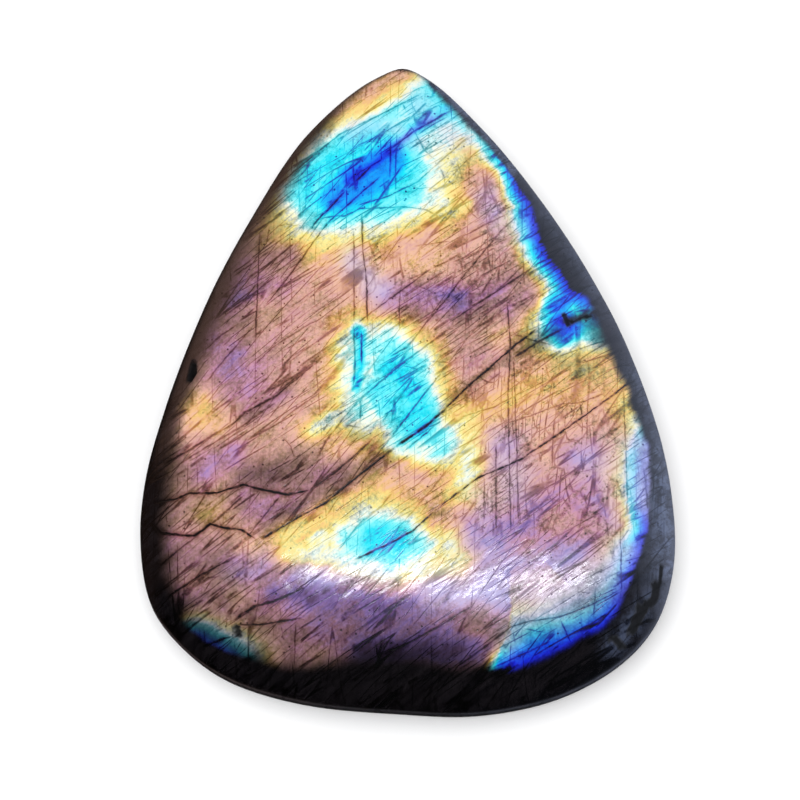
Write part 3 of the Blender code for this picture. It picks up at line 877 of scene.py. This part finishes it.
def crack_layers(u, v, seen):
    """Vectors of (signed distance, darkness, width) for the fractures, in layers that keep them apart."""
    layers = []
    taken = []
    for dark, width, path in CRACKS:
        low_x, low_y = np.min(path, 0) - CRACK_MARGIN
        high_x, high_y = np.max(path, 0) + CRACK_MARGIN
        near = np.flatnonzero(seen & (u > low_x) & (u < high_x) & (v > low_y) & (v < high_y))
        distance, way, length = along_path(u[near], v[near], path)
        close = np.abs(distance) < CRACK_REACH
        near, distance, way = near[close], distance[close], way[close]
        fade = min(CRACK_FADE, length / 3)
        taper = smoothstep(0, fade, way) * smoothstep(0, fade, length - way)
        free = [k for k, used in enumerate(taken) if not used[near].any()]
        if not free:
            layers.append(np.zeros((len(u), 3)))
            taken.append(np.zeros(len(u), bool))
            free = [len(layers) - 1]
        inner = smoothstep(*CRACK_SOFT, np.abs(distance))
        layers[free[0]][near] = np.stack([distance, dark * taper * inner, width * (0.5 + 0.5 * taper)], 1)
        taken[free[0]][near] = True
    return layers


def pit_reach(u, v, reach):
    """A pit's reach, made ragged from place to place."""
    return reach * (1 + ripples(u, v, PIT_RAGS))


def relief(u, v, seen):
    """How far the polished face rises over the smooth stone."""
    height = ripples(u, v, WAVES)
    for dark, _, path in CRACKS:
        if dark > OPEN_DARKNESS:
            distance, way, length = along_path(u, v, path)
            open_part = smoothstep(0, GROOVE_FADE, way) * smoothstep(0, GROOVE_FADE, length - way)
            groove = np.exp(-((distance / GROOVE_REACH) ** 2))
            height -= GROOVE_DEPTH * dark * open_part * groove * seen
    for reach, depth, path in PITS:
        ragged = pit_reach(u, v, reach)
        height -= depth * smoothstep(ragged, ragged * 0.4, path_distance(u, v, path)) * seen
    return height


def pit_share(u, v):
    """1 in the black pits and inclusions, and 0 outside them."""
    share = np.zeros(u.shape)
    for reach, _, path in PITS:
        ragged = pit_reach(u, v, reach)
        share = np.maximum(share, smoothstep(ragged * 1.05, ragged * 0.6, path_distance(u, v, path)))
    return share


def store(mesh, name, *columns):
    """Keeps three numbers for each vertex as an attribute of the mesh."""
    values = np.stack(columns, 1).astype(np.float32)
    mesh.attributes.new(name, "FLOAT_VECTOR", "POINT").data.foreach_set("vector", values.ravel())


def vertex_normals(mesh):
    """The mesh's normals, a row for each vertex."""
    normals = np.zeros(len(mesh.vertices) * 3, np.float32)
    mesh.vertex_normals.foreach_get("vector", normals)
    return normals.reshape(-1, 3)


def stone_mesh():
    """(the stone's mesh, how many layers of fractures it carries)."""
    directions, quads = cube_sphere(SIDE_CELLS)
    points = stone_points(directions)
    mesh = bpy.data.meshes.new("labradorite_cabochon")
    mesh.from_pydata((points * MM).tolist(), [], quads.tolist())
    z = points[:, 2]
    u, v = face_places(*points.T)
    seen = z > LINES_START
    rise = relief(u, v, seen) * smoothstep(*RELIEF_FADE, z)
    points = points + vertex_normals(mesh) * rise[:, None]
    mesh.vertices.foreach_set("co", (points * MM).astype(np.float32).ravel())
    mesh.shade_smooth()
    order, brightness, milk_and_glow = flash(u, v)
    front = smoothstep(*PAINT_FADE, z)
    store(mesh, "flash", order, brightness * front, milk_and_glow * front)
    # Painted reflection: the rim's blue-grey sheen, faded in up the wall
    rim_sheen = overpaint(0.0, PAINTED_RIM_SHEEN, u, v)
    store(mesh, "relief", pit_share(u, v) * seen, front, rim_sheen * smoothstep(*RIM_SHEEN_FADE, z))
    crazed = overpaint(GROUND_CRAZING, CRAZED, u, v) * front
    store(mesh, "crazing", crazed, crazed, crazed)
    layers = crack_layers(u, v, seen)
    for k, layer in enumerate(layers):
        store(mesh, f"fractures_{k}", *layer.T)
    mesh.update()
    return mesh, len(layers)


# The material


def linear(colour):
    """An sRGB colour from 0 to 255 as linear RGBA."""
    share = np.array(colour) / 255
    value = np.where(share <= 0.04045, share / 12.92, ((share + 0.055) / 1.055) ** 2.4)
    return (*value, 1.0)


class Graph:
    """Adds nodes to a node tree and links them as they are made."""

    def __init__(self, tree):
        self.tree = tree

    def fill(self, socket, value):
        """Sets an input to a value, or links it to the output of another node."""
        if isinstance(value, bpy.types.NodeSocket):
            self.tree.links.new(value, socket)
        else:
            socket.default_value = value

    def add(self, kind, inputs=None, output=0, **settings):
        """A new node's output. Inputs are values or the outputs of other nodes, by socket name or number."""
        node = self.tree.nodes.new(kind)
        for name, value in settings.items():
            setattr(node, name, value)
        for socket, value in (inputs or {}).items():
            self.fill(node.inputs[socket], value)
        return node.outputs[output]

    def math(self, operation, *values, clamp=False):
        """The result of one operation on numbers."""
        return self.add("ShaderNodeMath", dict(enumerate(values)), operation=operation, use_clamp=clamp)

    def chain(self, operation, values):
        """One operation over all the values."""
        return functools.reduce(lambda a, b: self.math(operation, a, b), values)

    def times(self, *values):
        """The product of the values."""
        return self.chain("MULTIPLY", values)

    def greatest(self, *values):
        """The greatest of the values."""
        return self.chain("MAXIMUM", values)

    def swings(self, textures, amounts):
        """How far textures by name swing from their means, added up with (name, mean, amount)."""
        return self.chain("ADD", [
            self.times(self.math("SUBTRACT", textures[name], mean), amount) for name, mean, amount in amounts
        ])

    def parts(self, vector):
        """The three numbers of a vector."""
        node = self.add("ShaderNodeSeparateXYZ", {0: vector}).node
        return node.outputs[0], node.outputs[1], node.outputs[2]

    def attribute(self, name):
        """The three numbers that the mesh keeps under this name."""
        return self.parts(self.add("ShaderNodeAttribute", output="Vector", attribute_name=name))

    def remap(self, value, low, high, start=0.0, end=1.0):
        """Start below low, end above high, and a smooth change between them."""
        inputs = {"Value": value, "From Min": low, "From Max": high, "To Min": start, "To Max": end}
        return self.add("ShaderNodeMapRange", inputs, interpolation_type="SMOOTHSTEP")

    def ramp(self, value, colours):
        """The colour for a value, from (position, linear colour) pairs."""
        output = self.add("ShaderNodeValToRGB", {"Fac": value})
        stops = output.node.color_ramp.elements
        for stop, (position, colour) in ((stops[0], colours[0]), (stops[1], colours[-1])):
            stop.position = position
            stop.color = colour
        for position, colour in colours[1:-1]:
            stops.new(position).color = colour
        return output

    def mix(self, share, a, b, blend="MIX"):
        """One colour mixed with another."""
        inputs = {0: share, 6: a, 7: b}
        return self.add("ShaderNodeMix", inputs, output=2, data_type="RGBA", blend_type=blend)

    def mix_value(self, share, a, b):
        """One number mixed with another."""
        return self.add("ShaderNodeMix", {0: share, 2: a, 3: b})

    def grey(self, value):
        """A number as a colour."""
        return self.add("ShaderNodeCombineColor", {0: value, 1: value, 2: value})

    def dimmed(self, colour, share):
        """A colour times a grey colour."""
        return self.mix(1.0, colour, share, "MULTIPLY")

    def streaked(self, place, turn, stretch):
        """The places turned and squeezed, so that a texture over them is drawn out at that angle."""
        inputs = {"Vector": place, "Rotation": (0, 0, math.radians(turn)), "Scale": (stretch, 1, 1)}
        return self.add("ShaderNodeMapping", inputs, vector_type="TEXTURE")

    def noise(self, place, scale, detail=2.0, roughness=0.5):
        """Noise from 0 to 1."""
        inputs = {"Vector": place, "Scale": scale, "Detail": detail, "Roughness": roughness}
        return self.add("ShaderNodeTexNoise", inputs)

    def voronoi(self, place, scale, feature="F1"):
        """The cells of a net, as a node's first output."""
        return self.add("ShaderNodeTexVoronoi", {"Vector": place, "Scale": scale}, feature=feature)


def fractures(graph, layer_count, place):
    """How much of a fracture shows at each place."""
    wobble = graph.times(graph.math("SUBTRACT", graph.noise(place, 2.2, 3.0, 0.6), 0.5), CRACK_WOBBLE)
    swell = graph.remap(graph.noise(place, 1.7), 0.3, 0.7, 0.6, 1.25)
    gaps = graph.remap(graph.noise(place, 2.3), 0.3, 0.6, 0.6, 1.2)
    shares = []
    for k in range(layer_count):
        distance, dark, width = graph.attribute(f"fractures_{k}")
        away = graph.math("ABSOLUTE", graph.math("ADD", distance, wobble))
        wide = graph.times(width, swell)
        line = graph.remap(away, 0.0, wide, 1.0, 0.0)
        dusk = graph.remap(away, 0.0, graph.times(wide, 3.0), 0.22, 0.0)
        shares.append(graph.times(graph.greatest(line, dusk), dark))
    return graph.times(graph.greatest(*shares), gaps)


def hairlines(graph, place, turn, stretch, scale, width, seed):
    """Thin broken lines at one angle."""
    shifted = graph.add("ShaderNodeVectorMath", {0: place, 1: (seed * 17.0, seed * 9.0, seed * 5.0)})
    drawn = graph.streaked(shifted, turn, stretch)
    wave = graph.math("ABSOLUTE", graph.math("SUBTRACT", graph.noise(drawn, scale, 0.0), 0.5))
    line = graph.remap(wave, 0.0, width, 1.0, 0.0)
    return graph.times(line, graph.remap(graph.noise(shifted, 0.5, 4.0, 0.6), 0.43, 0.60))


def crackle(graph, place, scale, width):
    """A broken net of crooked cracks."""
    bent = graph.add("ShaderNodeTexNoise", {"Vector": place, "Scale": 0.9, "Detail": 3.0}, output=1)
    inputs = {0: bent, 1: (1.2, 1.8, 0.0), 2: place}
    moved = graph.add("ShaderNodeVectorMath", inputs, operation="MULTIPLY_ADD")
    line = graph.remap(graph.voronoi(moved, scale, "DISTANCE_TO_EDGE"), 0.0, width, 1.0, 0.0)
    return graph.times(line, graph.remap(graph.noise(place, 0.9, 3.0), 0.4, 0.55, 0.2, 1.0))


def specks(graph, place):
    """Small dark dots, stronger in some cells of a net than in others."""
    cell = graph.voronoi(place, 2.3).node
    strength = graph.remap(graph.parts(cell.outputs["Color"])[0], 0.35, 0.75)
    return graph.times(graph.remap(cell.outputs["Distance"], 0.05, 0.19, 1.0, 0.0), strength)


def dark_lines(graph, place, layer_count, crazed):
    """How dark fractures, hairlines, crazing and specks make each place."""
    fine = graph.greatest(*(
        graph.times(hairlines(graph, place, turn, stretch, scale, width, seed), share)
        for turn, stretch, scale, width, share, seed in HAIRLINES
    ))
    net = crackle(graph, graph.streaked(place, 84, 1.9), 1.0, 0.07)
    upright = hairlines(graph, place, 88, 9.0, 2.0, 0.06, 6)
    crazing = graph.times(graph.greatest(graph.times(net, NET_DARKNESS), upright), crazed, CRAZING_DARKNESS)
    return graph.greatest(
        fractures(graph, layer_count, place),
        graph.times(fine, HAIRLINE_DARKNESS),
        crazing,
        specks(graph, place),
    )


def flash_colour(graph, order, milk_and_glow, dark, textures):
    """The flash's colour for its order. Lines over the blue islands shift it to a deeper blue."""
    shift = graph.times(graph.swings(textures, ORDER_SWINGS), graph.remap(order, 0.25, 0.6, 0.34, 1.0))
    blue_here = graph.remap(order, 0.34, 0.44, -0.11, 0.0)
    shift = graph.math("MULTIPLY_ADD", graph.math("MINIMUM", dark, 1.0), blue_here, shift)
    stops = [(position, linear(colour)) for position, colour in FLASH_COLOURS]
    # Milky places and the painted highlight glow pale the colour towards the milk colour
    return graph.mix(milk_and_glow, graph.ramp(graph.math("ADD", order, shift), stops), linear(MILK_AND_GLOW))


def flash_cover(graph, order, brightness, crazed, textures):
    """How far the flash covers the dark body, stronger in contrast where the stone is crazed."""
    swing = graph.times(
        graph.swings(textures, BRIGHTNESS_SWINGS),
        graph.remap(order, 0.1, 0.65, 0.55, 1.0),
        graph.math("MULTIPLY_ADD", crazed, 0.6, 0.85),
    )
    cover = graph.math("MULTIPLY", graph.math("ADD", swing, FLASH_LEVEL), brightness, clamp=True)
    return graph.math("POWER", cover, FLASH_CONTRAST)


def dark_body(graph, place, lamellae, rim_sheen):
    """The stone's brown-black body, with a painted reflection, a mottled blue-grey sheen, along the rim."""
    body = graph.mix(graph.remap(lamellae, 0.3, 0.75), linear(DARK_BODY), linear(PALE_BODY))
    # Painted reflection: the rim's blue-grey sheen mixed into the body colour
    mottle = graph.times(rim_sheen, graph.remap(graph.noise(place, 1.3, 5.0, 0.7), 0.36, 0.6, 0.45, 1.0))
    return graph.mix(graph.math("POWER", mottle, 2.0), body, linear(RIM_SHEEN_COLOUR))


def polish(graph, shader, place, textures, dark, pit, front):
    """Roughness and fine scratches of the polished face, and a duller wall and back."""
    rough = graph.remap(textures["fine"], 0.3, 0.7, *FACE_ROUGHNESS)
    rough = graph.math("MULTIPLY_ADD", dark, LINE_ROUGHNESS, rough)
    rough = graph.math("MULTIPLY_ADD", pit, PIT_ROUGHNESS, rough)
    back = graph.math("SUBTRACT", 1.0, front)
    rough = graph.math("MULTIPLY_ADD", back, BACK_ROUGHNESS, rough, clamp=True)
    scratch = graph.noise(graph.streaked(place, 40, 3.0), 1.7)
    dents = graph.noise(graph.streaked(place, 40, 1.6), 0.8)
    height = graph.math("MULTIPLY_ADD", scratch, 0.7, graph.times(dents, 1.2))
    height = graph.math("MULTIPLY_ADD", dark, -0.15, height)
    height = graph.math("MULTIPLY_ADD", textures["grain"], 0.05, height)
    bump = graph.add("ShaderNodeBump", {"Strength": 1.0, "Distance": BUMP_HEIGHT * MM, "Height": height})
    graph.fill(shader.inputs["Roughness"], rough)
    graph.fill(shader.inputs["Normal"], bump)
    graph.fill(shader.inputs["IOR"], STONE_IOR)


def new_material(name):
    """(a material, a graph of its nodes, its shader)."""
    material = bpy.data.materials.new(name)
    material.use_nodes = True
    return material, Graph(material.node_tree), material.node_tree.nodes["Principled BSDF"]


def labradorite(layer_count):
    """Polished labradorite: the painted flash, fine lamellae, specks, hairlines and fractures."""
    material, graph, shader = new_material("labradorite")
    where = graph.add("ShaderNodeTexCoord", output="Object")
    place = graph.add("ShaderNodeVectorMath", {0: where, 1: (1000.0, 1000.0, 100.0)}, operation="MULTIPLY")
    order, brightness, milk_and_glow = graph.attribute("flash")
    pit, front, rim_sheen = graph.attribute("relief")
    crazed = graph.attribute("crazing")[0]
    textures = {
        "lamellae": graph.noise(graph.streaked(place, LAMELLAE_ANGLE, 8.0), 2.4, 4.0, 0.65),
        "fine": graph.noise(graph.streaked(place, 38, 4.0), 7.0, 3.0, 0.6),
        "cloud": graph.noise(place, 0.6, 5.0, 0.65),
        "grain": graph.noise(place, 5.0, 4.0, 0.75),
    }
    dark = dark_lines(graph, place, layer_count, crazed)
    colour = graph.mix(
        flash_cover(graph, order, brightness, crazed, textures),
        dark_body(graph, place, textures["lamellae"], rim_sheen),
        flash_colour(graph, order, milk_and_glow, dark, textures),
    )

    # Lines deepen the colour, and lines and pits darken it
    dark = graph.times(dark, graph.remap(order, 0.3, 0.48, 0.95, 1.0))
    deeper = graph.math("MULTIPLY_ADD", dark, LINE_GAMMA, 1.0)
    colour = graph.add("ShaderNodeGamma", {"Color": colour, "Gamma": deeper})
    kept = graph.math("MULTIPLY_ADD", dark, -LINE_SHADE, 1.0)
    kept = graph.math("MULTIPLY", kept, graph.math("MULTIPLY_ADD", pit, -PIT_SHADE, 1.0), clamp=True)
    colour = graph.dimmed(colour, graph.grey(kept))
    colour = graph.dimmed(colour, (EXPOSURE, EXPOSURE, EXPOSURE, 1))
    graph.fill(shader.inputs["Base Color"], colour)
    polish(graph, shader, place, textures, dark, pit, front)
    return material


# The studio


def floor():
    """A plain white table."""
    mesh = bpy.data.meshes.new("table")
    half = TABLE_HALF_SIDE
    corners = [(-half, -half, 0), (half, -half, 0), (half, half, 0), (-half, half, 0)]
    mesh.from_pydata(corners, [], [(0, 1, 2, 3)])
    table = bpy.data.objects.new("table", mesh)
    table.location.z = -TABLE_GAP
    table.visible_glossy = False
    bpy.context.scene.collection.objects.link(table)
    material, graph, shader = new_material("table_white")
    place = graph.add("ShaderNodeTexCoord", output="Object")
    tone = graph.remap(graph.noise(place, 60.0, 3.0), 0.3, 0.7, 0.97, 0.985)
    graph.fill(shader.inputs["Base Color"], graph.grey(tone))
    graph.fill(shader.inputs["Roughness"], 0.9)
    mesh.materials.append(material)
    return table


def look_rotation(away):
    """The turn that points a lamp's back along the vector away, with its top to the north."""
    x, y, z = away
    tilt = math.atan2(-y, math.hypot(x, z))
    lean = math.atan2(x, z)
    turn = Matrix.Rotation(lean, 3, "Y") @ Matrix.Rotation(tilt, 3, "X")
    return turn.to_euler()


def area_light(name, place, size, power, towards=(0, 0, 0)):
    """A rectangular light that faces a point, all in metres and watts."""
    light = bpy.data.lights.new(name, "AREA")
    light.shape = "RECTANGLE"
    light.size, light.size_y = size
    light.energy = power
    lamp = bpy.data.objects.new(name, light)
    lamp.location = place
    lamp.rotation_euler = look_rotation(np.array(place) - np.array(towards))
    lamp.visible_camera = False
    bpy.context.scene.collection.objects.link(lamp)
    return lamp


def lights():
    """An overhead softbox for the colours, and a window whose reflection breaks up across the lower dome."""
    key = area_light("softbox", SOFTBOX_PLACE, SOFTBOX_SIZE, KEY_POWER)
    key.visible_glossy = False
    tilt = math.radians(WINDOW_TILT)
    west = WINDOW_DISTANCE * math.tan(math.radians(WINDOW_WEST))
    east = WINDOW_DISTANCE * math.tan(math.radians(WINDOW_EAST))
    middle = (east - west) / 2
    size = (east + west, WINDOW_HEIGHT)
    power = WINDOW_RADIANCE * math.pi * size[0] * size[1]
    place = (middle, -WINDOW_DISTANCE * math.sin(tilt), WINDOW_DISTANCE * math.cos(tilt))
    window = area_light("window", place, size, power, (middle, 0, 0))
    window.visible_diffuse = False
    window.data.color = WINDOW_COLOUR


def surroundings():
    """White to the camera, an even fill, and a dim room with a pale side for reflections."""
    world = bpy.data.worlds.new("studio")
    bpy.context.scene.world = world
    world.use_nodes = True
    world.node_tree.nodes.clear()
    graph = Graph(world.node_tree)
    east, north = graph.parts(graph.add("ShaderNodeTexCoord", output="Generated"))[:2]
    side = graph.ramp(graph.math("MULTIPLY_ADD", east, 0.5, 0.5), ROOM_COLOURS)
    dim = graph.remap(north, -0.5, 0.1, 0.06, 1.0)
    west = graph.remap(east, -0.3, -0.1, 1.0, 0.0)
    shaded = graph.remap(north, 0.25, 0.5, 0.08, 1.0)
    room = graph.dimmed(side, graph.grey(graph.times(dim, graph.mix_value(west, 1.0, shaded))))
    rays = graph.add("ShaderNodeLightPath").node
    colour = graph.mix(rays.outputs["Is Glossy Ray"], (SKY_FILL, SKY_FILL, SKY_FILL * 1.01, 1), room)
    colour = graph.mix(rays.outputs["Is Camera Ray"], colour, (1.0, 1.0, 1.0, 1))
    background = graph.add("ShaderNodeBackground", {"Color": colour})
    output = graph.tree.nodes.new("ShaderNodeOutputWorld")
    graph.fill(output.inputs["Surface"], background)


def camera():
    """Looks down on the face from a little to the south, from as far off as a long lens does."""
    data = bpy.data.cameras.new("camera")
    data.lens = LENS
    data.sensor_width = SENSOR
    distance = PICTURE_WIDTH / PIXELS_PER_MM * LENS / SENSOR
    tilt = math.radians(VIEW_TILT)
    seat = bpy.data.objects.new("camera", data)
    seat.location = (
        AIM[0] * MM,
        (AIM[1] - distance * math.sin(tilt)) * MM,
        (AIM[2] + distance * math.cos(tilt)) * MM,
    )
    seat.rotation_euler = (tilt, 0, 0)
    bpy.context.scene.collection.objects.link(seat)
    bpy.context.scene.camera = seat


def main():
    """Dresses the stone and sets up the studio around it."""
    mesh, layer_count = stone_mesh()
    stone = bpy.data.objects.new("stone", mesh)
    mesh.materials.append(labradorite(layer_count))
    bpy.context.scene.collection.objects.link(stone)
    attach(stone, "root")
    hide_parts("labradorite_stone")
    floor()
    lights()
    surroundings()
    camera()
    bpy.context.scene.view_settings.view_transform = "Standard"


main()
